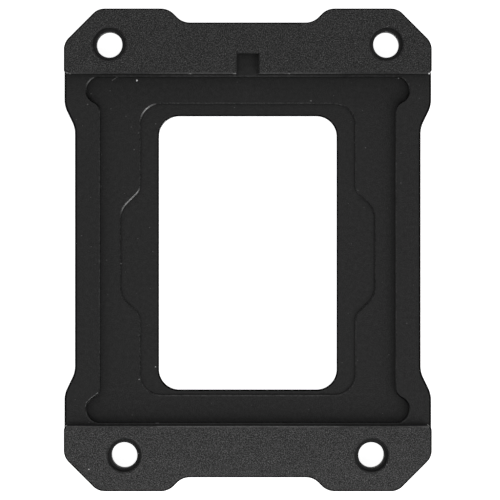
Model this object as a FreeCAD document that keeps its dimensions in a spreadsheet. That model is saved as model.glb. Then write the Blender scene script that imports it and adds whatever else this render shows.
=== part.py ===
"""Retention frame for a processor socket, milled from one aluminium plate.

The frame lies on its flat outer face, with the socket side up. X runs across the frame,
Y along it and Z from the outer face towards the board. The origin is the middle of the outer
face. Four levels step down from the board side: the two end strips that stand on the board,
the rails beside the socket, the floor of the socket pocket, and the land round the window,
which presses on the flange of the processor's lid.
"""
import FreeCAD, Part
import math
import os

import Sketcher

NODE = "retention_frame"
TOLERANCE = 1e-4

# Driving sizes in millimetres. The plan grows outwards from the window, and the levels
# are stacked up from the outer face.
SIZES = {
    # Window for the processor's lid, and the land that presses on the lid's flange
    "window_width": 26.3,
    "window_length": 40.45,
    "window_radius": 3.0,
    "land_side": 2.7,
    "land_top": 1.8,
    "land_bottom": 0.75,
    "recess_radius": 3.0,
    # Lobes of the recess, where the lid's flange is wider
    "lobe_reach": 2.9,
    "lobe_length": 12.7,
    "lobe_tip_radius": 3.0,
    "lobe_root_radius": 2.0,
    # Pocket for the socket body, with a slot milled along each end for its corners
    "shelf_side": 3.0,
    "shelf_top": 3.9,
    "shelf_bottom": 4.05,
    "ear_reach": 2.0,
    "ear_radius": 1.92,
    "ear_lip_radius": 1.56,
    # Rails beside the pocket, waisted between the lugs
    "rail_width": 3.7,
    "waist_inset": 1.55,
    "waist_length": 36.0,
    "waist_slope": 3.2,
    "waist_radius": 4.0,
    # End strips with cut corners, a shallow bay in each end and a notch in the top one
    "ledge_width": 0.35,
    "strip_width": 9.6,
    "strip_end_radius": 0.65,
    "corner_cut": 5.0,
    "corner_radius": 2.4,
    "bay_width": 19.2,
    "bay_depth": 2.05,
    "bay_radius": 2.7,
    "notch_width": 3.2,
    "notch_length": 3.0,
    # Screw holes, a pair in each strip
    "top_hole_inset": 6.65,
    "bottom_hole_inset": 8.85,
    "hole_row_offset": 0.45,
    "hole_diameter": 3.8,
    "boss_relief_diameter": 4.8,
    "boss_relief_depth": 1.2,
    "head_bore_diameter": 7.0,
    "head_bore_depth": 2.2,
    # Levels, from the outer face up
    "land_thickness": 1.8,
    "recess_depth": 0.6,
    "pocket_depth": 1.8,
    "strip_rise": 1.8,
    # Broken edges
    "strip_edge": 0.2,
    "rail_edge": 0.3,
    "rim_edge": 0.2,
    "outer_edge": 0.3,
    "window_bevel": 0.9,
}


class Term:
    """A length worked out from the sheet: its value now and the expression that keeps it."""

    def __init__(self, value, text):
        self.value = value
        self.text = text

    def __add__(self, other):
        return Term(self.value + other.value, f"({self.text} + {other.text})")

    def __sub__(self, other):
        return Term(self.value - other.value, f"({self.text} - {other.text})")

    def __mul__(self, number):
        return Term(self.value * number, f"({self.text} * {number})")

    def __neg__(self):
        return self * -1

    def __truediv__(self, number):
        return self * (1 / number)


def size(name):
    """Return the named size of the sheet."""
    return Term(SIZES[name], f"Sizes.{name}")


def fill_sheet(document):
    """Write every driving size to the sheet as a named cell."""
    sheet = document.addObject("Spreadsheet::Sheet", "Sizes")
    for row, (name, value) in enumerate(SIZES.items(), start=1):
        sheet.set(f"A{row}", name)
        sheet.set(f"B{row}", str(value))
        sheet.setAlias(f"B{row}", name)
    document.recompute()


def add_sketch(body, name, level=None):
    """Add a sketch in the plane of the outer face, or raised from it to a level."""
    planes = body.Origin.OriginFeatures
    outer_face = next(plane for plane in planes if plane.Role == "XY_Plane")
    sketch = body.newObject("Sketcher::SketchObject", name)
    sketch.AttachmentSupport = (outer_face, [""])
    sketch.MapMode = "FlatFace"
    if level is not None:
        sketch.setExpression("AttachmentOffset.Base.z", level.text)
    return sketch


def hold(sketch, kind, geometry, point, term):
    """Hold a point of the sketch at a signed distance from the origin along X or Y."""
    constraint = Sketcher.Constraint(kind, -1, 1, geometry, point, term.value)
    sketch.setExpression(f"Constraints[{sketch.addConstraint(constraint)}]", term.text)


def draw_outline(sketch, right_side):
    """Draw a closed outline, mirrored in X, from the corners of its right side in order."""
    points = [FreeCAD.Vector(x.value, y.value, 0) for x, y in right_side]
    points += [FreeCAD.Vector(-point.x, point.y, 0) for point in reversed(points)]
    count = len(points)
    for line in range(count):
        sketch.addGeometry(Part.LineSegment(points[line], points[(line + 1) % count]))
    for line in range(count):
        following = (line + 1) % count
        sketch.addConstraint(Sketcher.Constraint("Coincident", line, 2, following, 1))
    for corner, (x, y) in enumerate(right_side):
        twin = count - 1 - corner
        hold(sketch, "DistanceX", corner, 1, x)
        hold(sketch, "DistanceY", corner, 1, y)
        sketch.addConstraint(Sketcher.Constraint("Symmetric", corner, 1, twin, 1, -2))


def draw_circle(sketch, x, y, diameter):
    """Draw a circle that follows the sheet."""
    centre = FreeCAD.Vector(x.value, y.value, 0)
    circle = sketch.addGeometry(
        Part.Circle(centre, FreeCAD.Vector(0, 0, 1), diameter.value / 2))
    hold(sketch, "DistanceX", circle, 3, x)
    hold(sketch, "DistanceY", circle, 3, y)
    constraint = Sketcher.Constraint("Diameter", circle, diameter.value)
    sketch.setExpression(f"Constraints[{sketch.addConstraint(constraint)}]", diameter.text)


def draw_slot(sketch, centre_x, centre_y, radius):
    """Draw a slot with round ends, mirrored in X, from the centre of its right end."""
    x, y, r = centre_x.value, centre_y.value, radius.value
    up = FreeCAD.Vector(0, 0, 1)
    right, left = FreeCAD.Vector(x, y, 0), FreeCAD.Vector(-x, y, 0)
    rise = FreeCAD.Vector(0, r, 0)
    top = sketch.addGeometry(Part.LineSegment(left + rise, right + rise))
    right_end = sketch.addGeometry(
        Part.ArcOfCircle(Part.Circle(right, up, r), -math.pi / 2, math.pi / 2))
    bottom = sketch.addGeometry(Part.LineSegment(right - rise, left - rise))
    left_end = sketch.addGeometry(
        Part.ArcOfCircle(Part.Circle(left, up, r), math.pi / 2, 3 * math.pi / 2))
    for line, line_point, arc, arc_point in (
            (top, 2, right_end, 2), (bottom, 1, right_end, 1),
            (bottom, 2, left_end, 2), (top, 1, left_end, 1)):
        sketch.addConstraint(
            Sketcher.Constraint("Tangent", line, line_point, arc, arc_point))
    sketch.addConstraint(Sketcher.Constraint("Horizontal", top))
    sketch.addConstraint(Sketcher.Constraint("Symmetric", right_end, 3, left_end, 3, -2))
    hold(sketch, "DistanceX", right_end, 3, centre_x)
    hold(sketch, "DistanceY", right_end, 3, centre_y)
    constraint = Sketcher.Constraint("Radius", right_end, r)
    sketch.setExpression(f"Constraints[{sketch.addConstraint(constraint)}]", radius.text)


def both_ends(upper):
    """Return a right side that is the same below as above."""
    return upper + [(x, -y) for x, y in reversed(upper)]


def settle(feature):
    """Recompute, so that the next feature can read this one, and check its shape."""
    feature.Document.recompute()
    if not feature.isValid() or feature.Shape.isNull():
        raise RuntimeError(f"{feature.Name} has no valid shape")


def cut(body, name, sketch, depth=None):
    """Cut a sketch downwards to a depth, or right through."""
    before = body.Shape.Volume
    feature = body.newObject("PartDesign::Pocket", name)
    feature.Profile = sketch
    if depth is None:
        feature.Type = "ThroughAll"
    else:
        feature.setExpression("Length", depth.text)
    settle(feature)
    if body.Shape.Volume > before - TOLERANCE:
        raise RuntimeError(f"{name} cuts nothing")


def edge_names(shape, wanted):
    """Return the names of the edges of a shape that the test accepts."""
    return [f"Edge{number}" for number, edge in enumerate(shape.Edges, start=1) if wanted(edge)]


def dress(body, kind, name, edges, measure, term):
    """Round or bevel edges of the body as it stands."""
    if not edges:
        raise RuntimeError(f"{name} finds no edge")
    carrier = body.Tip
    feature = body.newObject(f"PartDesign::{kind}", name)
    feature.Base = (carrier, edges)
    feature.setExpression(measure, term.text)
    settle(feature)


def round_upright(body, name, radius, stands_there):
    """Round the upright edges whose place, on the right or mirrored to it, passes a test."""
    def wanted(edge):
        box = edge.BoundBox
        upright = max(box.XLength, box.YLength) < TOLERANCE
        return upright and stands_there(abs(box.XMin), box.YMin)

    dress(body, "Fillet", name, edge_names(body.Shape, wanted), "Radius", radius)


def round_corners(body, name, corners, radius):
    """Round the upright edges that stand over some corners of a right side, and their twins."""
    def is_corner(x, y):
        return any(math.hypot(x - a.value, y - b.value) < TOLERANCE for a, b in corners)

    round_upright(body, name, radius, is_corner)


def level_faces(shape, level, facing):
    """Return the flat faces at a height that look up (1) or down (-1)."""
    def fits(face):
        box = face.BoundBox
        flat = box.ZLength < TOLERANCE and abs(box.ZMin - level.value) < TOLERANCE
        return flat and face.normalAt(0, 0).z * facing > 0
    return [face for face in shape.Faces if fits(face)]


def same_edges(shape, edges):
    """Return the names under which a shape holds the given edges."""
    return edge_names(shape, lambda edge: any(edge.isSame(other) for other in edges))


def rim_round_middle(face):
    """Return the edges of the opening in a face that goes round the middle of the frame."""
    openings = [wire for wire in face.Wires if not wire.isSame(face.OuterWire)]
    return max(openings, key=lambda wire: wire.BoundBox.DiagonalLength).Edges


def break_rim(body, name, level, facing, width):
    """Bevel the edges round the middle opening of a level face."""
    faces = level_faces(body.Shape, level, facing)
    face = max(faces, key=lambda candidate: candidate.BoundBox.DiagonalLength)
    edges = same_edges(body.Shape, rim_round_middle(face))
    dress(body, "Chamfer", name, edges, "Size", width)


class Plan:
    """Where everything lies: levels up from the outer face, and lines out from the middle."""

    def __init__(self):
        self.outer_level = Term(0, "0 mm")
        self.land_level = size("land_thickness")
        self.floor_level = self.land_level + size("recess_depth")
        self.rail_level = self.floor_level + size("pocket_depth")
        self.strip_level = self.rail_level + size("strip_rise")

        self.window_side = size("window_width") / 2
        self.recess_side = self.window_side + size("land_side")
        self.lobe_side = self.recess_side + size("lobe_reach")
        self.pocket_side = self.lobe_side + size("shelf_side")
        self.waist_side = self.pocket_side + size("rail_width")
        self.lug_side = self.waist_side + size("waist_inset")

        recess_length = size("window_length") + size("land_top") + size("land_bottom")
        self.pocket_end = (recess_length + size("shelf_top") + size("shelf_bottom")) / 2
        self.recess_top = self.pocket_end - size("shelf_top")
        self.recess_bottom = size("shelf_bottom") - self.pocket_end
        self.window_top = self.recess_top - size("land_top")
        self.window_bottom = self.recess_bottom + size("land_bottom")
        self.lid_middle = (self.window_top + self.window_bottom) / 2
        self.strip_start = self.pocket_end + size("ledge_width")
        self.frame_end = self.strip_start + size("strip_width")
        self.hole_row = self.strip_start + size("strip_width") / 2 - size("hole_row_offset")


def build_blank(body, plan):
    """Raise the blank with its whole outline to the height of the strips."""
    bay_half = size("bay_width") / 2
    bay = [
        (bay_half, plan.frame_end - size("bay_depth")),
        (bay_half + size("bay_depth"), plan.frame_end),
    ]
    lug = [
        (plan.lug_side - size("corner_cut"), plan.frame_end),
        (plan.lug_side, plan.frame_end - size("corner_cut")),
    ]
    waist_half = size("waist_length") / 2
    waist = [
        (plan.lug_side, waist_half + size("waist_slope")),
        (plan.waist_side, waist_half),
    ]
    outline = add_sketch(body, "Outline")
    draw_outline(outline, both_ends(bay + lug + waist))
    blank = body.newObject("PartDesign::Pad", "Blank")
    blank.Profile = outline
    blank.setExpression("Length", plan.strip_level.text)
    settle(blank)
    round_corners(body, "BayCorners", both_ends(bay), size("bay_radius"))
    round_corners(body, "LugCorners", both_ends(lug), size("corner_radius"))
    round_corners(body, "WaistCorners", both_ends(waist), size("waist_radius"))


def cut_rails(body, plan):
    """Take the field between the strips down to the rails, and bevel the rails' outer edges."""
    field = add_sketch(body, "Field", plan.strip_level)
    overshoot = size("strip_width")
    draw_outline(field, both_ends([(plan.lug_side + overshoot, plan.strip_start)]))
    cut(body, "FieldCut", field, size("strip_rise"))
    strip_end = [(plan.lug_side, plan.strip_start)]
    round_corners(body, "StripEnds", both_ends(strip_end), size("strip_end_radius"))

    field_face = level_faces(body.Shape, plan.rail_level, 1)[0]
    side_edges = [
        edge for edge in field_face.OuterWire.Edges
        if abs(edge.CenterOfMass.y) < plan.strip_start.value - TOLERANCE]
    rail_edges = same_edges(body.Shape, side_edges)
    dress(body, "Chamfer", "RailEdges", rail_edges, "Size", size("rail_edge"))


def cut_notch(body, plan):
    """Cut the notch in the top strip, open to the field and level with the rails."""
    side = size("notch_width") / 2
    notch = add_sketch(body, "Notch", plan.strip_level)
    draw_outline(notch, [(side, plan.strip_start + size("notch_length")), (side, plan.pocket_end)])
    cut(body, "NotchCut", notch, size("strip_rise"))


def cut_pocket(body, plan):
    """Cut the pocket for the socket body, with end slots that run on into an ear each side."""
    radius = size("ear_radius")
    slot_end = plan.pocket_side + size("ear_reach") - radius
    slot_middle = plan.pocket_end - radius
    pocket = add_sketch(body, "Pocket", plan.rail_level)
    draw_outline(pocket, both_ends([(plan.pocket_side, slot_middle)]))
    cut(body, "PocketCut", pocket, size("pocket_depth"))
    for place, middle in (("Top", slot_middle), ("Bottom", -slot_middle)):
        slot = add_sketch(body, f"{place}Slot", plan.rail_level)
        draw_slot(slot, slot_end, middle, radius)
        cut(body, f"{place}SlotCut", slot, size("pocket_depth"))
    round_upright(
        body, "EarLips", size("ear_lip_radius"),
        lambda x, y: abs(x - plan.pocket_side.value) < TOLERANCE)


def cut_recess(body, plan):
    """Cut the recess for the lid's flange, with a lobe each side of the lid's middle."""
    half = size("lobe_length") / 2
    lobe_top = plan.lid_middle + half
    lobe_bottom = plan.lid_middle - half
    ends = [(plan.recess_side, plan.recess_top), (plan.recess_side, plan.recess_bottom)]
    tips = [(plan.lobe_side, lobe_top), (plan.lobe_side, lobe_bottom)]
    roots = [
        (plan.recess_side, lobe_top + size("lobe_reach")),
        (plan.recess_side, lobe_bottom - size("lobe_reach")),
    ]
    recess = add_sketch(body, "Recess", plan.floor_level)
    draw_outline(recess, [ends[0], roots[0], tips[0], tips[1], roots[1], ends[1]])
    cut(body, "RecessCut", recess, size("recess_depth"))
    round_corners(body, "RecessCorners", ends, size("recess_radius"))
    round_corners(body, "LobeTips", tips, size("lobe_tip_radius"))
    round_corners(body, "LobeRoots", roots, size("lobe_root_radius"))


def cut_window(body, plan):
    """Cut the window for the lid right through the land."""
    corners = [(plan.window_side, plan.window_top), (plan.window_side, plan.window_bottom)]
    window = add_sketch(body, "Window", plan.land_level)
    draw_outline(window, corners)
    cut(body, "WindowCut", window)
    round_corners(body, "WindowCorners", corners, size("window_radius"))


def drill_holes(body, place, centre_x, centre_y, strip_level):
    """Drill one strip's pair of holes, bored for the screw heads and relieved for the bosses."""
    centres = add_sketch(body, f"{place}Centres")
    for side in (1, -1):
        draw_circle(centres, centre_x * side, centre_y, size("hole_diameter"))
    body.Document.recompute()
    holes = body.newObject("PartDesign::Hole", f"{place}Holes")
    holes.Profile = centres
    body.Document.recompute()
    holes.Reversed = True
    holes.DepthType = "ThroughAll"
    holes.DrillPoint = "Flat"
    holes.setExpression("Diameter", size("hole_diameter").text)
    holes.HoleCutType = "Counterbore"
    holes.HoleCutCustomValues = True
    holes.setExpression("HoleCutDiameter", size("head_bore_diameter").text)
    holes.setExpression("HoleCutDepth", size("head_bore_depth").text)
    settle(holes)

    reliefs = add_sketch(body, f"{place}Reliefs", strip_level)
    for side in (1, -1):
        draw_circle(reliefs, centre_x * side, centre_y, size("boss_relief_diameter"))
    cut(body, f"{place}ReliefCut", reliefs, size("boss_relief_depth"))


def break_edges(body, plan):
    """Bevel the sharp edges, from the strips down to the outer face."""
    strips = level_faces(body.Shape, plan.strip_level, 1)
    strip_edges = same_edges(body.Shape, [edge for strip in strips for edge in strip.Edges])
    dress(body, "Chamfer", "StripEdges", strip_edges, "Size", size("strip_edge"))
    break_rim(body, "PocketRim", plan.rail_level, 1, size("rim_edge"))
    break_rim(body, "RecessRim", plan.floor_level, 1, size("rim_edge"))
    break_rim(body, "WindowRim", plan.land_level, 1, size("rim_edge"))
    break_rim(body, "WindowBevel", plan.outer_level, -1, size("window_bevel"))
    outer_face = level_faces(body.Shape, plan.outer_level, -1)[0]
    outer_edges = same_edges(body.Shape, outer_face.OuterWire.Edges)
    dress(body, "Chamfer", "OuterEdges", outer_edges, "Size", size("outer_edge"))


def build_frame(document):
    """Build the frame as one body, cut from the blank level by level."""
    body = document.addObject("PartDesign::Body", "RetentionFrame")
    body.Label = NODE
    plan = Plan()
    build_blank(body, plan)
    cut_rails(body, plan)
    cut_notch(body, plan)
    cut_pocket(body, plan)
    cut_recess(body, plan)
    cut_window(body, plan)
    top_holes = plan.lug_side - size("top_hole_inset")
    bottom_holes = plan.lug_side - size("bottom_hole_inset")
    drill_holes(body, "Top", top_holes, plan.hole_row, plan.strip_level)
    drill_holes(body, "Bottom", bottom_holes, -plan.hole_row, plan.strip_level)
    break_edges(body, plan)
    return body


def main():
    """Build the document, check it and write the frame's solid."""
    document = FreeCAD.newDocument("RetentionFrame")
    fill_sheet(document)
    body = build_frame(document)
    for item in document.Objects:
        if "Invalid" in item.State or "Error" in item.State:
            raise RuntimeError(f"{item.Name} failed: {item.State}")
    if body.Shape.isNull() or not body.Shape.isValid():
        raise RuntimeError("the frame has no valid solid")
    os.makedirs("parts", exist_ok=True)
    body.Shape.exportStep(f"parts/{body.Label}.step")


main()
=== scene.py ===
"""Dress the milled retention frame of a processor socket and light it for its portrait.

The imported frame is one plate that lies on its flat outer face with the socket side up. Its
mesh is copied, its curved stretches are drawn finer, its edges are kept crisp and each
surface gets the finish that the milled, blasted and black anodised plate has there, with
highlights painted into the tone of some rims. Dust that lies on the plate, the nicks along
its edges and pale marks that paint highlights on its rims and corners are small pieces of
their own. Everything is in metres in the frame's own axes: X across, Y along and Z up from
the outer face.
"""

import logging
import math
import random
from dataclasses import dataclass
from enum import Enum

import bmesh
import bpy
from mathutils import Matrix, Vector
from mathutils.bvhtree import BVHTree


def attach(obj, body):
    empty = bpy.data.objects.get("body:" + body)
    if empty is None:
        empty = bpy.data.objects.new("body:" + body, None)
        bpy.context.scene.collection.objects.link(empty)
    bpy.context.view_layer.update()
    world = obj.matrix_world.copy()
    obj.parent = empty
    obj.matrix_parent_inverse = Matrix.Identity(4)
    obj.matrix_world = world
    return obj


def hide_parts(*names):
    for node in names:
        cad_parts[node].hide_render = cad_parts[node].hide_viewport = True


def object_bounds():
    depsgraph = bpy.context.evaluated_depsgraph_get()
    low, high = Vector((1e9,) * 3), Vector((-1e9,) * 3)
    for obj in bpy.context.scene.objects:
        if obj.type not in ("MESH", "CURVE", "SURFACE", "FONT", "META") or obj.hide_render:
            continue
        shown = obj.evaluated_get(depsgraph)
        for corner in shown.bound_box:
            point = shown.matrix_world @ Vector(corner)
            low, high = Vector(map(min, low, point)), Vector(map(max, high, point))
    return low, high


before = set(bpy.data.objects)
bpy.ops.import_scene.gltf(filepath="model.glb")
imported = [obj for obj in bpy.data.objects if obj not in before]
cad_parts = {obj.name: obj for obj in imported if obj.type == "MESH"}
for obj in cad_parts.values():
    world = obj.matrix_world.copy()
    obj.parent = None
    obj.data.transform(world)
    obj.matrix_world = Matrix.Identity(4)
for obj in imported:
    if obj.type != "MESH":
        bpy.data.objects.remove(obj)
CAD_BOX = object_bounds()

LOG = logging.getLogger("retention_frame")
MM = 0.001
NODE = "retention_frame"
BODY = "root"
PAINTED_HIGHLIGHT_ATTRIBUTE = "corner_highlight"

# A face is level where its unit normal's Z is above the first, and upright below the second
LEVEL_NORMAL = 0.999
UPRIGHT_NORMAL = 0.02

# A noise runs round its middle and seldom strays from it by more than its reach
NOISE_MIDDLE = 0.5
NOISE_REACH = 0.25
NOISE_ROUGHNESS = 0.6

Faces = list[bmesh.types.BMFace]
Socket = bpy.types.NodeSocket


class Surface(Enum):
    """The kinds of surface on the plate, each with its place in the list of finishes.

    The seats are the blasted strips and the outer face, the field is the milled floors and
    rails, and the rims are the broken edges that lead from one level to the next.
    """

    SEAT = 0
    SEAT_RIM = 1
    FIELD = 2
    FIELD_RIM = 3
    WALL = 4
    OUTER_EDGE = 5
    SUNK_RIM = 6
    BORE_WALL = 7


class NodeBoard:
    """A node tree, with short calls to add nodes and link them."""

    def __init__(self, tree: bpy.types.NodeTree) -> None:
        """Take the tree and clear it.

        Args:
            tree: The material's, the world's or the modifier's tree.
        """
        self.tree = tree
        self.nodes = tree.nodes
        self.nodes.clear()

    def add(self, kind: str, **settings: object) -> bpy.types.Node:
        """Add a node and give it its settings.

        Args:
            kind: The node's type, such as ShaderNodeMath.
            settings: The node's own settings, such as its operation.

        Returns:
            The new node.
        """
        node = self.nodes.new(kind)
        for name, value in settings.items():
            setattr(node, name, value)
        return node

    def feed(self, node: bpy.types.Node, **values: object) -> bpy.types.Node:
        """Set or link a node's inputs by name, with an underscore for each space.

        Args:
            node: The node that gets the values.
            values: A plain value for a socket, or another node's output to link to it.

        Returns:
            The same node.
        """
        for name, value in values.items():
            socket = node.inputs[name.replace("_", " ")]
            if isinstance(value, Socket):
                self.tree.links.new(value, socket)
            else:
                socket.default_value = value
        return node

    def link(self, source: Socket, target: Socket) -> None:
        """Link one socket to another."""
        self.tree.links.new(source, target)

    def work_out(self, operation: str, first: object, second: object) -> Socket:
        """Work out one number from two.

        Args:
            operation: The math node's operation.
            first: The first number, or the output that gives it.
            second: The second number, or the output that gives it.

        Returns:
            The output with the result.
        """
        node = self.add("ShaderNodeMath", operation=operation)
        for socket, value in zip(node.inputs, (first, second)):
            if isinstance(value, Socket):
                self.link(value, socket)
            else:
                socket.default_value = value
        return node.outputs[0]


def new_material(name: str) -> tuple[bpy.types.Material, NodeBoard]:
    """Make an empty material.

    Args:
        name: The material's name.

    Returns:
        The material and the board that holds its tree.
    """
    material = bpy.data.materials.new(name)
    material.use_nodes = True
    return material, NodeBoard(material.node_tree)


def grey(tone: float) -> tuple[float, float, float, float]:
    """Give a grey as a colour input takes it."""
    return (tone, tone, tone, 1.0)


def add_noise(board: NodeBoard, place: Socket, size: float, detail: float) -> Socket:
    """Add a noise to a material.

    Args:
        board: The material's board.
        place: The object's own coordinates.
        size: The size of the noise's patches in millimetres.
        detail: How many times finer patches are added to them.

    Returns:
        The output with the noise.
    """
    pattern = board.add("ShaderNodeTexNoise", noise_dimensions="3D")
    board.feed(pattern, Vector=place, Scale=1.0 / (size * MM), Detail=detail,
               Roughness=NOISE_ROUGHNESS)
    return pattern.outputs["Fac"]


def spread(board: NodeBoard, pattern: Socket, contrast: float) -> Socket:
    """Turn a noise into a factor round 1.

    Args:
        board: The material's board.
        pattern: The noise.
        contrast: The power of two that the factor has where the noise is at its reach.

    Returns:
        The output with the factor.
    """
    centred = board.work_out("SUBTRACT", pattern, NOISE_MIDDLE)
    power = board.work_out("MULTIPLY", centred, contrast / NOISE_REACH)
    return board.work_out("POWER", 2.0, power)


@dataclass(frozen=True)
class AnodisedFinish:
    """Black anodised aluminium, with the grain that blasting or milling left under the dye.

    Sizes are in millimetres and tones are linear reflectances. A contrast is the power of the
    pattern: the tone is multiplied by two to the contrast where the pattern is highest and
    divided by it where it is lowest. A speckle reaches out to a share of its cell. A painted
    highlight keeps the tone as far as the highlight's reach from the plate's middle line, and
    fades it to the share beyond that stretch. The corner highlight gain is what the painted
    highlight on rims that face one corner adds to the tone. The grazing share is how much of a
    metal's gloss is left when it is seen from low down, because a rough skin scatters it.
    """

    name: str
    tone: float
    roughness: float
    grain_size: float
    grain_contrast: float
    grain_height: float
    mottle_size: float
    mottle_contrast: float
    grain_detail: float = 2.0
    mottle_detail: float = 3.0
    speckle_size: float = 0.9
    speckle_reach: float = 0.12
    speckle_share: float = 0.0
    speckle_tone: float = 0.05
    highlight_stretch_reach: float = 0.0
    highlight_stretch_fade: float = 1.5
    beyond_highlight_share: float = 1.0
    corner_highlight_gain: float = 0.0
    metallic: float = 1.0
    specular: float = 0.5
    grazing_share: float = 0.5

    def material(self) -> bpy.types.Material:
        """Build the finish's material.

        Returns:
            The material, with its pattern on the object's own coordinates.
        """
        material, board = new_material(self.name)
        place = board.add("ShaderNodeTexCoord").outputs["Object"]
        grain = add_noise(board, place, self.grain_size, self.grain_detail)
        mottle = add_noise(board, place, self.mottle_size, self.mottle_detail)
        grain_factor = spread(board, grain, self.grain_contrast)
        mottle_factor = spread(board, mottle, self.mottle_contrast)
        factor = board.work_out("MULTIPLY", grain_factor, mottle_factor)
        tone = board.work_out("MULTIPLY", factor, self.tone)
        # Painted highlight: the rims' tone is kept along the plate's middle stretch, where their
        # reflection line runs, and dropped beyond it
        if self.highlight_stretch_reach > 0.0:
            tone = board.work_out("MULTIPLY", tone, self.painted_highlight_stretch(board, place))
        # Painted highlight: rims that face one corner get a lighter tone, as if they caught the
        # corner lamps
        if self.corner_highlight_gain > 0.0:
            corner_highlight = board.add("ShaderNodeAttribute", attribute_name=PAINTED_HIGHLIGHT_ATTRIBUTE).outputs["Fac"]
            gain = board.work_out("MULTIPLY", corner_highlight, self.corner_highlight_gain)
            tone = board.work_out("MULTIPLY", tone, board.work_out("ADD", gain, 1.0))
        if self.speckle_share > 0.0:
            tone = board.work_out("ADD", tone, self.speckle(board, place))

        relief = board.add("ShaderNodeBump")
        board.feed(relief, Strength=1.0, Distance=self.grain_height * MM, Height=grain)
        shader = board.add("ShaderNodeBsdfPrincipled")
        board.feed(shader, Metallic=self.metallic, Roughness=self.roughness,
                   Specular_IOR_Level=self.specular, Base_Color=tone,
                   Specular_Tint=grey(self.grazing_share),
                   Normal=relief.outputs["Normal"])
        output = board.add("ShaderNodeOutputMaterial")
        board.feed(output, Surface=shader.outputs["BSDF"])
        return material

    def painted_highlight_stretch(self, board: NodeBoard, place: Socket) -> Socket:
        """Give a factor that is 1 along the middle of the plate and drops beyond its reach, a
        painted highlight that lights the rims only along that stretch.

        Args:
            board: The material's board.
            place: The object's own coordinates.

        Returns:
            The output with the factor.
        """
        parts = board.add("ShaderNodeSeparateXYZ")
        board.feed(parts, Vector=place)
        fade = board.add("ShaderNodeMapRange", interpolation_type="SMOOTHSTEP")
        board.feed(fade, Value=board.work_out("ABSOLUTE", parts.outputs["X"], 0.0),
                   From_Min=self.highlight_stretch_reach * MM,
                   From_Max=(self.highlight_stretch_reach + self.highlight_stretch_fade) * MM,
                   To_Min=1.0, To_Max=self.beyond_highlight_share)
        return fade.outputs["Result"]

    def speckle(self, board: NodeBoard, place: Socket) -> Socket:
        """Give the small pale spots that lie here and there on the finish.

        Args:
            board: The material's board.
            place: The object's own coordinates.

        Returns:
            The output with the tone that the spots add.
        """
        cells = board.add("ShaderNodeTexVoronoi", voronoi_dimensions="3D", feature="F1")
        board.feed(cells, Vector=place, Scale=1.0 / (self.speckle_size * MM))
        parts = board.add("ShaderNodeSeparateColor")
        board.feed(parts, Color=cells.outputs["Color"])
        chosen = board.work_out("LESS_THAN", parts.outputs["Red"], self.speckle_share)
        reach = board.work_out("MULTIPLY", parts.outputs["Green"], self.speckle_reach)
        inside = board.work_out("LESS_THAN", cells.outputs["Distance"], reach)
        spot = board.work_out("MULTIPLY", chosen, inside)
        strength = board.work_out("MULTIPLY", parts.outputs["Blue"], self.speckle_tone)
        return board.work_out("MULTIPLY", spot, strength)


@dataclass(frozen=True)
class DustAndGlintFinish:
    """Pale lint, bare metal and painted highlight marks, each fleck in its own tone.

    The tone is stored on the flecks under the attribute's name.
    """

    name: str = "pale_dust_and_glints"
    attribute: str = "fleck_tone"
    roughness: float = 0.8
    patch_size: float = 0.05
    patch_detail: float = 1.0
    patch_contrast: float = 0.4

    def material(self) -> bpy.types.Material:
        """Build the finish's material.

        Returns:
            The material, which takes its tone from the flecks.
        """
        material, board = new_material(self.name)
        place = board.add("ShaderNodeTexCoord").outputs["Object"]
        patches = add_noise(board, place, self.patch_size, self.patch_detail)
        factor = spread(board, patches, self.patch_contrast)
        stored = board.add("ShaderNodeAttribute", attribute_name=self.attribute)
        tone = board.work_out("MULTIPLY", stored.outputs["Fac"], factor)
        shader = board.add("ShaderNodeBsdfPrincipled")
        board.feed(shader, Metallic=0.0, Roughness=self.roughness, Base_Color=tone)
        output = board.add("ShaderNodeOutputMaterial")
        board.feed(output, Surface=shader.outputs["BSDF"])
        return material


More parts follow.
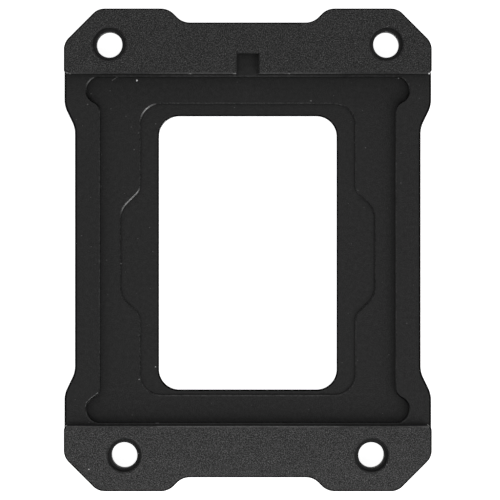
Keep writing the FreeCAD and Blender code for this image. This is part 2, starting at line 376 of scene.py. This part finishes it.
@dataclass
class MilledPlate:
    """The plate itself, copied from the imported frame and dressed.

    Lengths are in millimetres and angles in degrees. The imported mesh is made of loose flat
    facets, so its points are merged and its flat faces joined. Where two level chords of like
    length turn by an angle between the least and the most, an arc is taken to run through
    them, and it gets points between theirs. Edges sharper than the sharp angle stay crisp, and
    the rest is shaded as one skin.
    """

    merge_distance: float = 0.001
    flat_angle: float = 0.5
    arc_rounds: int = 2
    facet_slope: float = 0.95
    least_turn: float = 0.5
    most_turn: float = 20.0
    least_chord: float = 0.001
    chord_rise: float = 0.0001
    chord_tolerance: float = 0.02
    sharp_angle: float = 25.0
    broad_area: float = 100.0
    least_wall: float = 0.2
    level_step: float = 0.05
    seat_rim_depth: float = 0.4
    shelter: float = 0.45
    corner_highlight_azimuth: float = -45.0
    corner_highlight_reach: float = 42.0
    pocket_highlight_share: float = 0.2

    def build(self, source: bpy.types.Object) -> bpy.types.Object:
        """Build the dressed plate.

        Args:
            source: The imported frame's node.

        Returns:
            The plate, at the origin with its place in its mesh.
        """
        work = bmesh.new()
        work.from_mesh(source.data)
        bmesh.ops.remove_doubles(work, verts=work.verts, dist=self.merge_distance * MM)
        bmesh.ops.dissolve_limit(
            work, angle_limit=math.radians(self.flat_angle), verts=work.verts, edges=work.edges,
            delimit={"NORMAL"})
        for _ in range(self.arc_rounds):
            self.draw_arcs_finer(work)
        self.sort_surfaces(work)
        self.mark_sharp_edges(work)
        for face in work.faces:
            face.smooth = True
        mesh = bpy.data.meshes.new("milled_plate")
        work.to_mesh(mesh)
        work.free()
        plate = bpy.data.objects.new("milled_plate", mesh)
        bpy.context.scene.collection.objects.link(plate)
        normals = plate.modifiers.new("even_shading", "WEIGHTED_NORMAL")
        normals.keep_sharp = True
        return plate

    def draw_arcs_finer(self, work: bmesh.types.BMesh) -> None:
        """Split each facet of an upright curved wall in two, on the true arc.

        Args:
            work: The plate's mesh.
        """
        work.normal_update()
        facets = [face for face in work.faces
                  if len(face.edges) == 4 and abs(face.normal.z) < self.facet_slope]
        moves: dict[bmesh.types.BMEdge, Vector] = {}
        for face in facets:
            for edge in face.edges:
                bulge = self.arc_bulge(edge)
                if bulge is not None:
                    moves[edge] = bulge
        pairs = []
        for face in facets:
            chords = [edge for edge in face.edges if edge in moves]
            if len(chords) == 2:
                pairs.append((face, chords))
        middles: dict[bmesh.types.BMEdge, bmesh.types.BMVert] = {}
        for edge, bulge in moves.items():
            middle = (edge.verts[0].co + edge.verts[1].co) / 2 + bulge
            _, vert = bmesh.utils.edge_split(edge, edge.verts[0], 0.5)
            vert.co = middle
            middles[edge] = vert
        for face, (first, second) in pairs:
            bmesh.utils.face_split(face, middles[first], middles[second])

    def arc_bulge(self, edge: bmesh.types.BMEdge) -> Vector | None:
        """Find how far the middle of a level edge lies from the arc that it is a chord of.

        Args:
            edge: An edge of a facet.

        Returns:
            The way from the chord's middle to the arc, or None if the edge is on no arc.
        """
        start, end = edge.verts
        along = end.co - start.co
        length = along.length
        rise = self.chord_rise * MM
        if abs(along.z) > rise or length < self.least_chord * MM:
            return None
        largest, bulge = self.least_turn, None
        for vert, direction in ((end, along), (start, -along)):
            for other in vert.link_edges:
                onward = other.other_vert(vert).co - vert.co
                unlike = abs(onward.length / length - 1) > self.chord_tolerance
                if other is edge or abs(onward.z) > rise or unlike:
                    continue
                turn = math.degrees(direction.angle(onward))
                if largest < turn < self.most_turn:
                    outward = Vector((direction.y, -direction.x, 0.0)).normalized()
                    if direction.cross(onward).z < 0.0:
                        outward.negate()
                    largest = turn
                    # An arc's rise is half its chord times the tangent of a quarter of its angle
                    bulge = outward * (length / 2 * math.tan(math.radians(turn) / 4))
        return bulge

    def mark_sharp_edges(self, work: bmesh.types.BMesh) -> None:
        """Let the light break at each edge between two levels, walls or chamfers.

        Args:
            work: The plate's mesh.
        """
        limit = math.radians(self.sharp_angle)
        for edge in work.edges:
            edge.smooth = edge.calc_face_angle(0.0) < limit

    def walls(self, work: bmesh.types.BMesh) -> tuple[Faces, Faces]:
        """List the upright faces.

        Args:
            work: The plate's mesh.

        Returns:
            The steps, which stand on one of the broad levels or are sunk in the highest one, and
            the others, which go down through the plate: its outside, the window and the holes.
        """
        levels = self.broad_levels(work)
        rails = levels[-2]
        steps, through = [], []
        for face in work.faces:
            foot, head = self.foot(face), max(vert.co.z for vert in face.verts)
            if abs(face.normal.z) < UPRIGHT_NORMAL and head - foot > self.least_wall * MM:
                level = self.level_of(foot)
                (steps if level in levels or level > rails else through).append(face)
        return steps, through

    @staticmethod
    def foot(face: bmesh.types.BMFace) -> float:
        """Give the height of a face's lowest corner."""
        return min(vert.co.z for vert in face.verts)

    @staticmethod
    def level_of(height: float) -> float:
        """Give a height to a tenth of a millimetre, which tells the plate's levels apart."""
        return round(height / MM, 1)

    def broad_levels(self, work: bmesh.types.BMesh) -> list[float]:
        """List the heights of the broad faces that look up.

        Args:
            work: The plate's mesh.

        Returns:
            The heights in millimetres, lowest first.
        """
        work.normal_update()
        areas: dict[float, float] = {}
        for face in work.faces:
            if face.normal.z > LEVEL_NORMAL:
                level = self.level_of(face.calc_center_median().z)
                areas[level] = areas.get(level, 0.0) + face.calc_area() / MM ** 2
        return sorted(level for level, area in areas.items() if area > self.broad_area)

    def sort_surfaces(self, work: bmesh.types.BMesh) -> None:
        """Give each face the place of its surface in the list of finishes.

        The rims are told apart by the wall that is nearest. Where the rim of the pocket runs
        close under the strips, it has the field's finish.

        Args:
            work: The plate's mesh.
        """
        steps, through = self.walls(work)
        top = max(vert.co.z for vert in work.verts)
        levels = self.broad_levels(work)
        land, pocket_floor, rails = levels[0], levels[1], levels[-2]
        strip_walls = [face for face in steps if self.level_of(self.foot(face)) == rails]
        bores = {face for face in through if self.foot(face) > land * MM}
        inner_edge = min(abs(face.calc_center_median().y) for face in strip_walls)
        step_tree, through_tree, strip_tree = map(self.tree_of, (steps, through, strip_walls))
        corner_highlight = work.faces.layers.float.new(PAINTED_HIGHLIGHT_ATTRIBUTE)
        for face in work.faces:
            middle = face.calc_center_median()
            up = face.normal.z
            if up > LEVEL_NORMAL:
                seat = middle.z > top - self.level_step * MM
                kind = Surface.SEAT if seat else Surface.FIELD
            elif up < -LEVEL_NORMAL:
                kind = Surface.SEAT
            elif abs(up) < UPRIGHT_NORMAL:
                kind = Surface.BORE_WALL if face in bores else Surface.WALL
            elif through_tree.find_nearest(middle)[3] < step_tree.find_nearest(middle)[3]:
                kind = Surface.OUTER_EDGE
            elif middle.z > top - self.seat_rim_depth * MM:
                inner = abs(middle.y) < inner_edge + self.shelter * MM
                kind = Surface.SEAT_RIM if inner else Surface.SUNK_RIM
            else:
                # Rims close under the strips keep the field's darker tone instead of the rims'
                # lighter one, as the strips shade them
                sheltered = strip_tree.find_nearest(middle)[3] < self.shelter * MM
                kind = Surface.FIELD if sheltered else Surface.FIELD_RIM
                # Painted highlight: the pocket's rims get only a share of the corner highlight
                share = self.pocket_highlight_share if middle.z > pocket_floor * MM else 1.0
                face[corner_highlight] = share * self.corner_highlight(face.normal)
            face.material_index = kind.value

    def corner_highlight(self, normal: Vector) -> float:
        """Give the painted highlight of a rim, from 0 to 1.

        The rims that look towards one corner of the plate get a painted highlight, as if they
        caught the lamps at that corner, and it fades smoothly as they turn away from it.

        Args:
            normal: The way that the rim looks.

        Returns:
            The painted highlight, which is 1 on the rims that look straight at the corner.
        """
        azimuth = math.radians(self.corner_highlight_azimuth)
        level = Vector((normal.x, normal.y))
        aside = level.angle(Vector((math.cos(azimuth), math.sin(azimuth))), math.pi)
        inside = max(0.0, 1.0 - math.degrees(aside) / self.corner_highlight_reach)
        return inside * inside * (3.0 - 2.0 * inside)

    @staticmethod
    def tree_of(faces: Faces) -> BVHTree:
        """Make a search tree of some of the plate's faces.

        Args:
            faces: The faces to search.

        Returns:
            The tree.
        """
        corners, polygons = [], []
        for face in faces:
            polygons.append(list(range(len(corners), len(corners) + len(face.verts))))
            corners.extend(vert.co.copy() for vert in face.verts)
        return BVHTree.FromPolygons(corners, polygons)


@dataclass(frozen=True)
class Fleck:
    """One fleck of dust, bright nick or painted highlight mark that is seen on the plate.

    Lengths are in millimetres, the turn is in degrees from the X axis and the tone is a linear
    reflectance.
    """

    x: float
    y: float
    length: float
    tone: float
    width: float = 0.0
    turn: float = 0.0


@dataclass
class DustAndGlints:
    """The flecks of lint on the plate, the nicks along its edges and pale marks of painted
    highlight.

    Lengths are in millimetres. The listed flecks, nicks and painted highlight marks are where the
    photograph shows them, a row of pale marks paints the highlight line along the upper rim of
    the recess, and finer dust is strewn over the faces that look up. A drift is a share of the
    pitch that a mark may stray by, and a spread gives the least and the most that a size is
    multiplied by. Each body is a flattened ball with lumps, of one height. Its rounding is how
    often its facets are split, and its unevenness is the share of the height that a lump adds.
    """

    flecks: tuple[Fleck, ...] = (
        Fleck(-16.39, 25.04, 0.31, 0.85, 0.24, 60.0),
        Fleck(-23.59, 21.41, 0.22, 0.08),
        Fleck(9.32, 22.04, 0.32, 0.11, 0.22),
        Fleck(22.25, 25.35, 0.26, 0.16),
        Fleck(-16.06, -19.12, 0.22, 0.20),
        Fleck(-13.66, -17.30, 0.20, 0.34),
        Fleck(-23.33, -32.19, 0.24, 0.42),
        Fleck(-16.10, -29.93, 0.22, 0.30),
        Fleck(-24.47, 2.10, 0.20, 0.06),
        Fleck(-14.53, 3.30, 0.20, 0.055),
        Fleck(-16.29, 1.68, 0.18, 0.055),
        Fleck(-20.87, -1.51, 0.18, 0.05),
        Fleck(-18.77, -2.04, 0.22, 0.12),
        Fleck(-23.16, 23.09, 0.22, 0.06),
        Fleck(-20.33, 23.51, 0.20, 0.048),
        Fleck(-20.24, 20.84, 0.20, 0.052),
        Fleck(-17.20, 18.16, 0.18, 0.05),
        Fleck(-13.62, 18.65, 0.20, 0.07),
        Fleck(-16.16, 17.26, 0.20, 0.06),
        Fleck(-16.80, 14.81, 0.22, 0.065),
        Fleck(-25.24, 19.17, 0.18, 0.055),
        Fleck(20.46, 32.78, 0.20, 0.10),
        Fleck(20.01, 32.68, 0.16, 0.09),
        Fleck(20.40, -31.45, 0.20, 0.16),
        Fleck(-21.60, 31.72, 0.24, 0.10, 0.12, 50.0),
    )
    nicks_and_glints: tuple[Fleck, ...] = (
        Fleck(-8.48, 25.86, 0.45, 0.30, 0.12),
        Fleck(-1.95, 25.86, 0.55, 0.26, 0.14),
        Fleck(6.08, 25.86, 0.45, 0.22, 0.12),
        Fleck(-13.34, -25.53, 0.60, 0.14, 0.12),
        Fleck(21.90, 31.33, 0.42, 0.02, 0.30, 126.0),
        Fleck(20.30, 32.10, 0.30, 0.12, 0.20, 0.0),
        # The next six are painted highlights: bright marks on the strips' rounded corners, where
        # their chamfers catch the light
        Fleck(-26.56, 26.02, 0.50, 0.24, 0.13, -20.0),
        Fleck(-26.15, 25.88, 0.40, 0.16, 0.14, -30.0),
        Fleck(26.64, 25.92, 0.38, 0.95, 0.22, 40.0),
        Fleck(26.82, 26.12, 0.26, 0.80, 0.16, 40.0),
        Fleck(-26.72, -25.88, 0.34, 0.50, 0.14, 40.0),
        Fleck(26.58, -25.82, 0.40, 0.34, 0.14, -38.0),
        Fleck(-19.98, 25.08, 0.30, 0.10, 0.13, 40.0),
        Fleck(-19.70, 25.26, 0.50, 0.09, 0.11, 34.0),
        Fleck(-19.25, 25.50, 0.40, 0.09, 0.10, 28.0),
        # Painted highlight: bright marks along the rim of the lower left ear, where it catches the
        # light
        Fleck(-22.20, -21.12, 0.40, 0.12, 0.14, 42.0),
        Fleck(-22.61, -21.44, 0.50, 0.09, 0.12, 38.0),
        Fleck(-22.98, -21.71, 0.50, 0.11, 0.12, 38.0),
        Fleck(-23.35, -22.02, 0.50, 0.09, 0.12, 42.0),
        Fleck(-23.72, -22.40, 0.45, 0.08, 0.12, 50.0),
        Fleck(-23.88, -22.90, 0.40, 0.06, 0.11, 80.0),
        # Painted highlight: bright marks along the upper left corner of the window's rim, where it
        # catches the light
        Fleck(-11.44, 19.55, 0.40, 0.30, 0.13, 25.0),
        Fleck(-11.86, 19.31, 0.36, 0.20, 0.12, 34.0),
        Fleck(-12.24, 19.01, 0.46, 0.45, 0.14, 43.0),
        Fleck(-12.53, 18.70, 0.36, 0.34, 0.13, 51.0),
        Fleck(-12.77, 18.35, 0.30, 0.24, 0.12, 59.0),
        Fleck(-12.97, 17.97, 0.46, 0.42, 0.14, 67.0),
        Fleck(-13.08, 17.67, 0.30, 0.28, 0.12, 73.0),
        # Painted highlight: faint marks where the recess's upper rim turns into its right corner
        Fleck(13.16, 21.60, 0.50, 0.055, 0.12, -8.0),
        Fleck(13.67, 21.48, 0.50, 0.07, 0.12, -22.0),
    )
    # Painted highlight: a dotted row of pale marks along the recess's upper rim, where the rim
    # catches the light
    rim_glint_start: float = -12.9
    rim_glint_end: float = 12.3
    rim_glint_y: float = 21.67
    rim_glint_pitch: float = 0.55
    rim_glint_drift: float = 0.25
    rim_glint_length: float = 0.18
    rim_glint_length_spread: tuple[float, float] = (0.7, 1.3)
    rim_glint_width: float = 0.1
    rim_glint_tone: float = 0.051
    rim_glint_tone_spread: tuple[float, float] = (0.4, 1.8)
    width_share: float = 0.8
    height: float = 0.06
    unevenness: float = 0.35
    lump_size: float = 0.12
    lump_detail: float = 1.0
    rounding: int = 2
    strewn_per_square_mm: float = 0.02
    strewn_length: float = 0.13
    strewn_length_spread: tuple[float, float] = (0.7, 1.4)
    strewn_width_spread: tuple[float, float] = (0.5, 0.9)
    strewn_tone: float = 0.075
    strewn_tone_spread: tuple[float, float] = (0.6, 1.3)
    seed: int = 11

    def build(self, plate: bpy.types.Object, material: bpy.types.Material) -> bpy.types.Object:
        """Build all flecks as one piece.

        Args:
            plate: The dressed plate that they lie on.
            material: The flecks' finish.

        Returns:
            The piece, a plain mesh at the origin.
        """
        seeds = self.seed_points(plate)
        strewer = seeds.modifiers.new("strew", "NODES")
        strewer.node_group = self.tree()
        inputs = {
            "Plate": plate,
            "Height": self.height * MM,
            "Unevenness": self.unevenness,
            "Density": self.strewn_per_square_mm / MM ** 2,
            "Strewn Length": self.strewn_length * MM,
            "Strewn Tone": self.strewn_tone,
            "Seed": self.seed,
            "Finish": material,
        }
        for item in strewer.node_group.interface.items_tree:
            if item.name in inputs:
                strewer[item.identifier] = inputs[item.name]
        graph = bpy.context.evaluated_depsgraph_get()
        mesh = bpy.data.meshes.new_from_object(seeds.evaluated_get(graph))
        mesh.name = "litter"
        seeds.modifiers.remove(strewer)
        bpy.data.objects.remove(seeds)
        piece = bpy.data.objects.new("litter", mesh)
        bpy.context.scene.collection.objects.link(piece)
        return piece

    def seed_points(self, plate: bpy.types.Object) -> bpy.types.Object:
        """Put one point with its sizes on the plate for each named fleck.

        Args:
            plate: The dressed plate.

        Returns:
            An object of loose points.
        """
        surface = BVHTree.FromObject(plate, bpy.context.evaluated_depsgraph_get())
        above = max(corner[2] for corner in plate.bound_box) + MM
        down = Vector((0.0, 0.0, -1.0))
        kept, places = [], []
        for fleck in (*self.flecks, *self.nicks_and_glints, *self.rim_glints()):
            start = Vector((fleck.x * MM, fleck.y * MM, above))
            place = surface.ray_cast(start, down)[0]
            if place is not None:
                kept.append(fleck)
                places.append(place)
        mesh = bpy.data.meshes.new("litter_points")
        mesh.from_pydata(places, [], [])
        columns = {
            "fleck_length": [fleck.length * MM for fleck in kept],
            "fleck_width": [(fleck.width or fleck.length * self.width_share) * MM
                            for fleck in kept],
            "fleck_turn": [math.radians(fleck.turn) for fleck in kept],
            "fleck_tone": [fleck.tone for fleck in kept],
        }
        for name, values in columns.items():
            mesh.attributes.new(name, "FLOAT", "POINT").data.foreach_set("value", values)
        points = bpy.data.objects.new("litter_points", mesh)
        bpy.context.scene.collection.objects.link(points)
        return points

    def rim_glints(self) -> list[Fleck]:
        """List the pale marks along the recess's upper rim, which paint the rim's dotted highlight
        line.

        Returns:
            The marks, from left to right.
        """
        chance = random.Random(self.seed)
        marks = []
        x = self.rim_glint_start
        while x < self.rim_glint_end:
            drift = chance.uniform(-self.rim_glint_drift, self.rim_glint_drift)
            marks.append(Fleck(
                x + drift * self.rim_glint_pitch, self.rim_glint_y,
                self.rim_glint_length * chance.uniform(*self.rim_glint_length_spread),
                self.rim_glint_tone * chance.uniform(*self.rim_glint_tone_spread),
                self.rim_glint_width))
            x += self.rim_glint_pitch
        return marks

    def tree(self) -> bpy.types.NodeTree:
        """Build the tree that turns points into flecks.

        Returns:
            The tree, with its sizes as named inputs.
        """
        tree = bpy.data.node_groups.new("strewn_flecks", "GeometryNodeTree")
        board = NodeBoard(tree)
        sockets = {
            "Geometry": "NodeSocketGeometry", "Plate": "NodeSocketObject",
            "Height": "NodeSocketFloat", "Unevenness": "NodeSocketFloat",
            "Density": "NodeSocketFloat", "Strewn Length": "NodeSocketFloat",
            "Strewn Tone": "NodeSocketFloat", "Seed": "NodeSocketInt",
            "Finish": "NodeSocketMaterial"}
        for name, kind in sockets.items():
            tree.interface.new_socket(name, in_out="INPUT", socket_type=kind)
        tree.interface.new_socket("Geometry", in_out="OUTPUT", socket_type="NodeSocketGeometry")
        given = board.add("NodeGroupInput").outputs

        named = board.add("GeometryNodeMeshToPoints")
        board.feed(named, Mesh=given["Geometry"])
        points = board.add("GeometryNodeJoinGeometry")
        board.link(named.outputs["Points"], points.inputs["Geometry"])
        board.link(self.strewn_points(board, given), points.inputs["Geometry"])
        bodies = self.bodies(board, given, points.outputs["Geometry"])
        dressed = board.add("GeometryNodeSetMaterial")
        board.feed(dressed, Geometry=self.with_lumps(board, given, bodies),
                   Material=given["Finish"])
        result = board.add("NodeGroupOutput")
        board.feed(result, Geometry=dressed.outputs["Geometry"])
        return tree

    def strewn_points(self, board: NodeBoard, given: bpy.types.NodeOutputs) -> Socket:
        """Strew points over the plate's faces that look up, and give each its sizes.

        Args:
            board: The tree's board.
            given: The tree's inputs.

        Returns:
            The output with the points.
        """
        plate = board.add("GeometryNodeObjectInfo", transform_space="ORIGINAL")
        board.feed(plate, Object=given["Plate"])
        facing = board.add("ShaderNodeSeparateXYZ")
        board.feed(facing, Vector=board.add("GeometryNodeInputNormal").outputs["Normal"])
        level = board.work_out("GREATER_THAN", facing.outputs["Z"], LEVEL_NORMAL)
        strewn = board.add("GeometryNodeDistributePointsOnFaces", distribute_method="RANDOM")
        board.feed(strewn, Mesh=plate.outputs["Geometry"], Selection=level,
                   Density=given["Density"], Seed=given["Seed"])
        points = strewn.outputs["Points"]
        columns = {
            "fleck_length": (given["Strewn Length"], self.strewn_length_spread),
            "fleck_width": (given["Strewn Length"], self.strewn_width_spread),
            "fleck_turn": (math.tau, (0.0, 1.0)),
            "fleck_tone": (given["Strewn Tone"], self.strewn_tone_spread)}
        for offset, (name, (size, (least, most))) in enumerate(columns.items(), start=1):
            # The node has sockets for each kind of value, and these are a plain number's
            share = board.add("FunctionNodeRandomValue", data_type="FLOAT")
            share.inputs[2].default_value = least
            share.inputs[3].default_value = most
            seed = board.work_out("ADD", given["Seed"], float(offset))
            board.link(seed, share.inputs["Seed"])
            value = board.work_out("MULTIPLY", size, share.outputs[1])
            store = board.add("GeometryNodeStoreNamedAttribute", data_type="FLOAT",
                              domain="POINT")
            board.feed(store, Geometry=points, Name=name, Value=value)
            points = store.outputs["Geometry"]
        return points

    def bodies(self, board: NodeBoard, given: bpy.types.NodeOutputs, points: Socket) -> Socket:
        """Put a flattened ball of its own length, width and turn on each point.

        Args:
            board: The tree's board.
            given: The tree's inputs.
            points: The output with the points.

        Returns:
            The output with the balls as one mesh.
        """
        fields = {}
        for name in ("fleck_length", "fleck_width", "fleck_turn"):
            field = board.add("GeometryNodeInputNamedAttribute", data_type="FLOAT")
            fields[name] = board.feed(field, Name=name).outputs["Attribute"]
        size = board.add("ShaderNodeCombineXYZ")
        board.feed(size, X=fields["fleck_length"], Y=fields["fleck_width"], Z=given["Height"])
        turn = board.add("ShaderNodeCombineXYZ")
        board.feed(turn, Z=fields["fleck_turn"])
        rotation = board.add("FunctionNodeEulerToRotation")
        board.feed(rotation, Euler=turn.outputs["Vector"])
        # The ball is one unit across, so that its scale is the fleck's own size
        ball = board.add("GeometryNodeMeshIcoSphere")
        board.feed(ball, Radius=0.5, Subdivisions=self.rounding)
        placed = board.add("GeometryNodeInstanceOnPoints")
        board.feed(placed, Points=points, Instance=ball.outputs["Mesh"],
                   Rotation=rotation.outputs["Rotation"], Scale=size.outputs["Vector"])
        solid = board.add("GeometryNodeRealizeInstances")
        board.feed(solid, Geometry=placed.outputs["Instances"])
        return solid.outputs["Geometry"]

    def with_lumps(self, board: NodeBoard, given: bpy.types.NodeOutputs,
                   bodies: Socket) -> Socket:
        """Push the skin of the bodies in and out, so that no two look alike.

        Args:
            board: The tree's board.
            given: The tree's inputs.
            bodies: The output with the bodies.

        Returns:
            The output with the uneven bodies.
        """
        lumps = board.add("ShaderNodeTexNoise", noise_dimensions="3D")
        board.feed(lumps, Vector=board.add("GeometryNodeInputPosition").outputs["Position"],
                   Scale=1.0 / (self.lump_size * MM), Detail=self.lump_detail)
        centred = board.work_out("SUBTRACT", lumps.outputs["Fac"], NOISE_MIDDLE)
        share = board.work_out("MULTIPLY", centred, given["Unevenness"])
        length = board.work_out("MULTIPLY", share, given["Height"])
        push = board.add("ShaderNodeVectorMath", operation="SCALE")
        board.feed(push, Vector=board.add("GeometryNodeInputNormal").outputs["Normal"],
                   Scale=length)
        uneven = board.add("GeometryNodeSetPosition")
        board.feed(uneven, Geometry=bodies, Offset=push.outputs["Vector"])
        return uneven.outputs["Geometry"]


@dataclass(frozen=True)
class SoftLight:
    """One soft light of the studio, aimed at the plate.

    Angles are in degrees, lengths in metres and the strength is the irradiance that it would
    give a surface that faces it at the plate, as a share of plain studio level.
    """

    name: str
    azimuth: float
    elevation: float
    distance: float
    width: float
    strength: float

    def place(self, target: Vector) -> bpy.types.Object:
        """Make the light and aim it.

        Args:
            target: The point that it looks at.

        Returns:
            The light's object.
        """
        lamp = bpy.data.lights.new(self.name, "AREA")
        lamp.shape = "DISK"
        lamp.size = self.width
        # A lamp gives its power / (pi * distance squared) straight ahead, and plain level is pi
        lamp.energy = self.strength * math.pi * math.pi * self.distance ** 2
        turn, rise = math.radians(self.azimuth), math.radians(self.elevation)
        away = Vector((
            math.cos(turn) * math.cos(rise), math.sin(turn) * math.cos(rise), math.sin(rise)))
        light = bpy.data.objects.new(self.name, lamp)
        light.location = target + away * self.distance
        light.rotation_mode = "QUATERNION"
        light.rotation_quaternion = (-away).to_track_quat("-Z", "Y")
        bpy.context.scene.collection.objects.link(light)
        return light


@dataclass
class Studio:
    """The pale floor, the white surroundings, the lights and the camera.

    Heights and widths are in metres, and the camera's place and the floor's drop under the
    plate in millimetres. The camera looks straight down on the middle of the plate. Its numbers
    come from the edges that are seen in the photograph, which is 500 by 500 pixels.
    """

    picture_width: float = 500.0
    sensor_width: float = 36.0
    pixels_per_radian: float = 3504.0
    camera_height: float = 0.514
    camera_x: float = 0.3233
    camera_y: float = -0.015
    nearest_seen: float = 0.01
    farthest_seen: float = 20.0
    floor_width: float = 6.0
    floor_drop: float = 0.02
    floor_tone: float = 0.8
    floor_glow: float = 0.95
    fill_strength: float = 0.4

    def lights(self) -> list[SoftLight]:
        """List the studio's lights.

        Returns:
            The lights: five that stand low to high at one corner and draw the bright crescents,
            two broad windows and a small light high over the near side.
        """
        return [
            SoftLight("corner_high", -45.0, 60.0, 0.8, 0.2, 0.107),
            SoftLight("corner_middle", -45.0, 45.0, 0.8, 0.2, 0.149),
            SoftLight("corner_low", -45.0, 30.0, 0.8, 0.15, 0.11),
            SoftLight("corner_flat_south", -52.0, 15.0, 0.8, 0.4, 0.05),
            SoftLight("corner_flat_east", -38.0, 15.0, 0.8, 0.4, 0.05),
            SoftLight("north_window", 90.0, 30.0, 1.0, 0.5, 0.23),
            SoftLight("west_window", 180.0, 60.0, 1.0, 0.7, 0.06),
            SoftLight("top_light", -90.0, 72.0, 0.8, 0.2, 0.078),
        ]

    def build(self) -> None:
        """Build the whole studio."""
        lowest, highest = CAD_BOX
        middle = Vector((0.0, 0.0, highest.z))
        self.add_floor(lowest.z - self.floor_drop * MM)
        self.add_surroundings()
        for light in self.lights():
            light.place(middle)
        self.add_camera(highest.z)
        bpy.context.scene.view_settings.view_transform = "Standard"

    def add_floor(self, height: float) -> None:
        """Lay the pale floor that the plate lies on.

        Args:
            height: The floor's height.
        """
        half = self.floor_width / 2
        corners = [(-half, -half, height), (half, -half, height), (half, half, height),
                   (-half, half, height)]
        mesh = bpy.data.meshes.new("floor")
        mesh.from_pydata(corners, [], [(0, 1, 2, 3)])
        floor = bpy.data.objects.new("floor", mesh)
        bpy.context.scene.collection.objects.link(floor)
        material, board = new_material("pale_floor")
        matt = board.add("ShaderNodeBsdfDiffuse")
        board.feed(matt, Color=grey(self.floor_tone))
        glow = board.add("ShaderNodeEmission")
        board.feed(glow, Strength=board.work_out("MULTIPLY", self.in_view(board), self.floor_glow))
        both = board.add("ShaderNodeAddShader")
        board.link(matt.outputs["BSDF"], both.inputs[0])
        board.link(glow.outputs["Emission"], both.inputs[1])
        output = board.add("ShaderNodeOutputMaterial")
        board.feed(output, Surface=both.outputs["Shader"])
        mesh.materials.append(material)

    @staticmethod
    def in_view(board: NodeBoard) -> Socket:
        """Tell the rays that show a surface from those that only light others by it.

        Args:
            board: The material's or the world's board.

        Returns:
            The output that is 1 for rays from the camera, from gloss or through glass.
        """
        rays = board.add("ShaderNodeLightPath")
        seen = board.work_out(
            "MAXIMUM", rays.outputs["Is Camera Ray"], rays.outputs["Is Glossy Ray"])
        return board.work_out("MAXIMUM", seen, rays.outputs["Is Transmission Ray"])

    def add_surroundings(self) -> None:
        """Make the surroundings white to the eye and in gloss, and a soft fill elsewhere."""
        world = bpy.data.worlds.new("white_room")
        bpy.context.scene.world = world
        world.use_nodes = True
        board = NodeBoard(world.node_tree)
        seen = self.in_view(board)
        rest = board.work_out("MULTIPLY", board.work_out("SUBTRACT", 1.0, seen), self.fill_strength)
        room = board.add("ShaderNodeBackground")
        board.feed(room, Strength=board.work_out("ADD", seen, rest))
        output = board.add("ShaderNodeOutputWorld")
        board.feed(output, Surface=room.outputs["Background"])

    def add_camera(self, top: float) -> None:
        """Set the camera over the plate.

        Args:
            top: The height of the plate's upper side.
        """
        data = bpy.data.cameras.new("camera")
        data.sensor_width = self.sensor_width
        data.lens = self.pixels_per_radian / self.picture_width * self.sensor_width
        data.clip_start = self.nearest_seen
        data.clip_end = self.farthest_seen
        camera = bpy.data.objects.new("camera", data)
        bpy.context.scene.collection.objects.link(camera)
        camera.location = (self.camera_x * MM, self.camera_y * MM, top + self.camera_height)
        bpy.context.scene.camera = camera


def finishes() -> dict[Surface, AnodisedFinish]:
    """List the plate's finishes.

    Returns:
        The finishes by surface, in the order of the surfaces' places.
    """
    blasted = AnodisedFinish(
        name="blasted_seat", tone=0.0311, roughness=0.3, grain_size=0.14, grain_contrast=2.3,
        grain_height=0.004, mottle_size=2.0, mottle_contrast=0.08)
    milled = AnodisedFinish(
        name="milled_field", tone=0.0231, roughness=0.6, grain_size=0.15, grain_contrast=0.5,
        grain_height=0.002, mottle_size=0.6, mottle_contrast=0.22, speckle_share=0.05)
    walled = AnodisedFinish(
        name="milled_wall", tone=0.012, roughness=0.45, grain_size=0.2, grain_contrast=0.2,
        grain_height=0.002, mottle_size=0.8, mottle_contrast=0.15)
    # Painted highlight: the strips' inner rims have a raised tone that stands in for their
    # reflection line
    seat_rim_highlit = AnodisedFinish(
        name="seat_rim_painted_highlight", tone=0.08, roughness=0.3, grain_size=0.2, grain_contrast=0.6,
        grain_height=0.002, mottle_size=0.8, mottle_contrast=0.3, highlight_stretch_reach=12.6,
        highlight_stretch_fade=2.0, beyond_highlight_share=0.68)
    # The field rims are lighter than the field, and their corner highlight gain is a painted
    # highlight
    field_rim_highlit = AnodisedFinish(
        name="field_rim_painted_highlight", tone=0.042, roughness=0.32, grain_size=0.3, grain_contrast=0.8,
        grain_height=0.002, mottle_size=0.8, mottle_contrast=0.3, corner_highlight_gain=3.6)
    outer = AnodisedFinish(
        name="dark_outer_edge", tone=0.004, roughness=0.14, grain_size=0.2, grain_contrast=0.3,
        grain_height=0.002, mottle_size=0.8, mottle_contrast=0.2)
    sunk = AnodisedFinish(
        name="blasted_rim", tone=0.039, roughness=0.6, grain_size=0.14, grain_contrast=1.6,
        grain_height=0.004, mottle_size=2.0, mottle_contrast=0.08)
    bored = AnodisedFinish(
        name="bored_wall", tone=0.005, roughness=0.6, grain_size=0.2, grain_contrast=0.2,
        grain_height=0.002, mottle_size=0.8, mottle_contrast=0.15, metallic=0.0, specular=0.0)
    return {
        Surface.SEAT: blasted,
        Surface.SEAT_RIM: seat_rim_highlit,
        Surface.FIELD: milled,
        Surface.FIELD_RIM: field_rim_highlit,
        Surface.WALL: walled,
        Surface.OUTER_EDGE: outer,
        Surface.SUNK_RIM: sunk,
        Surface.BORE_WALL: bored,
    }


def main() -> None:
    """Build the dressed part and the studio."""
    logging.basicConfig(level=logging.INFO, format="%(name)s: %(message)s")
    plate = MilledPlate().build(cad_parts[NODE])
    for finish in finishes().values():
        plate.data.materials.append(finish.material())
    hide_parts(NODE)
    litter = DustAndGlints().build(plate, DustAndGlintFinish().material())
    for piece in (plate, litter):
        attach(piece, BODY)
        LOG.info("%s: %d faces", piece.name, len(piece.data.polygons))
    Studio().build()


if __name__ == "__main__":
    main()
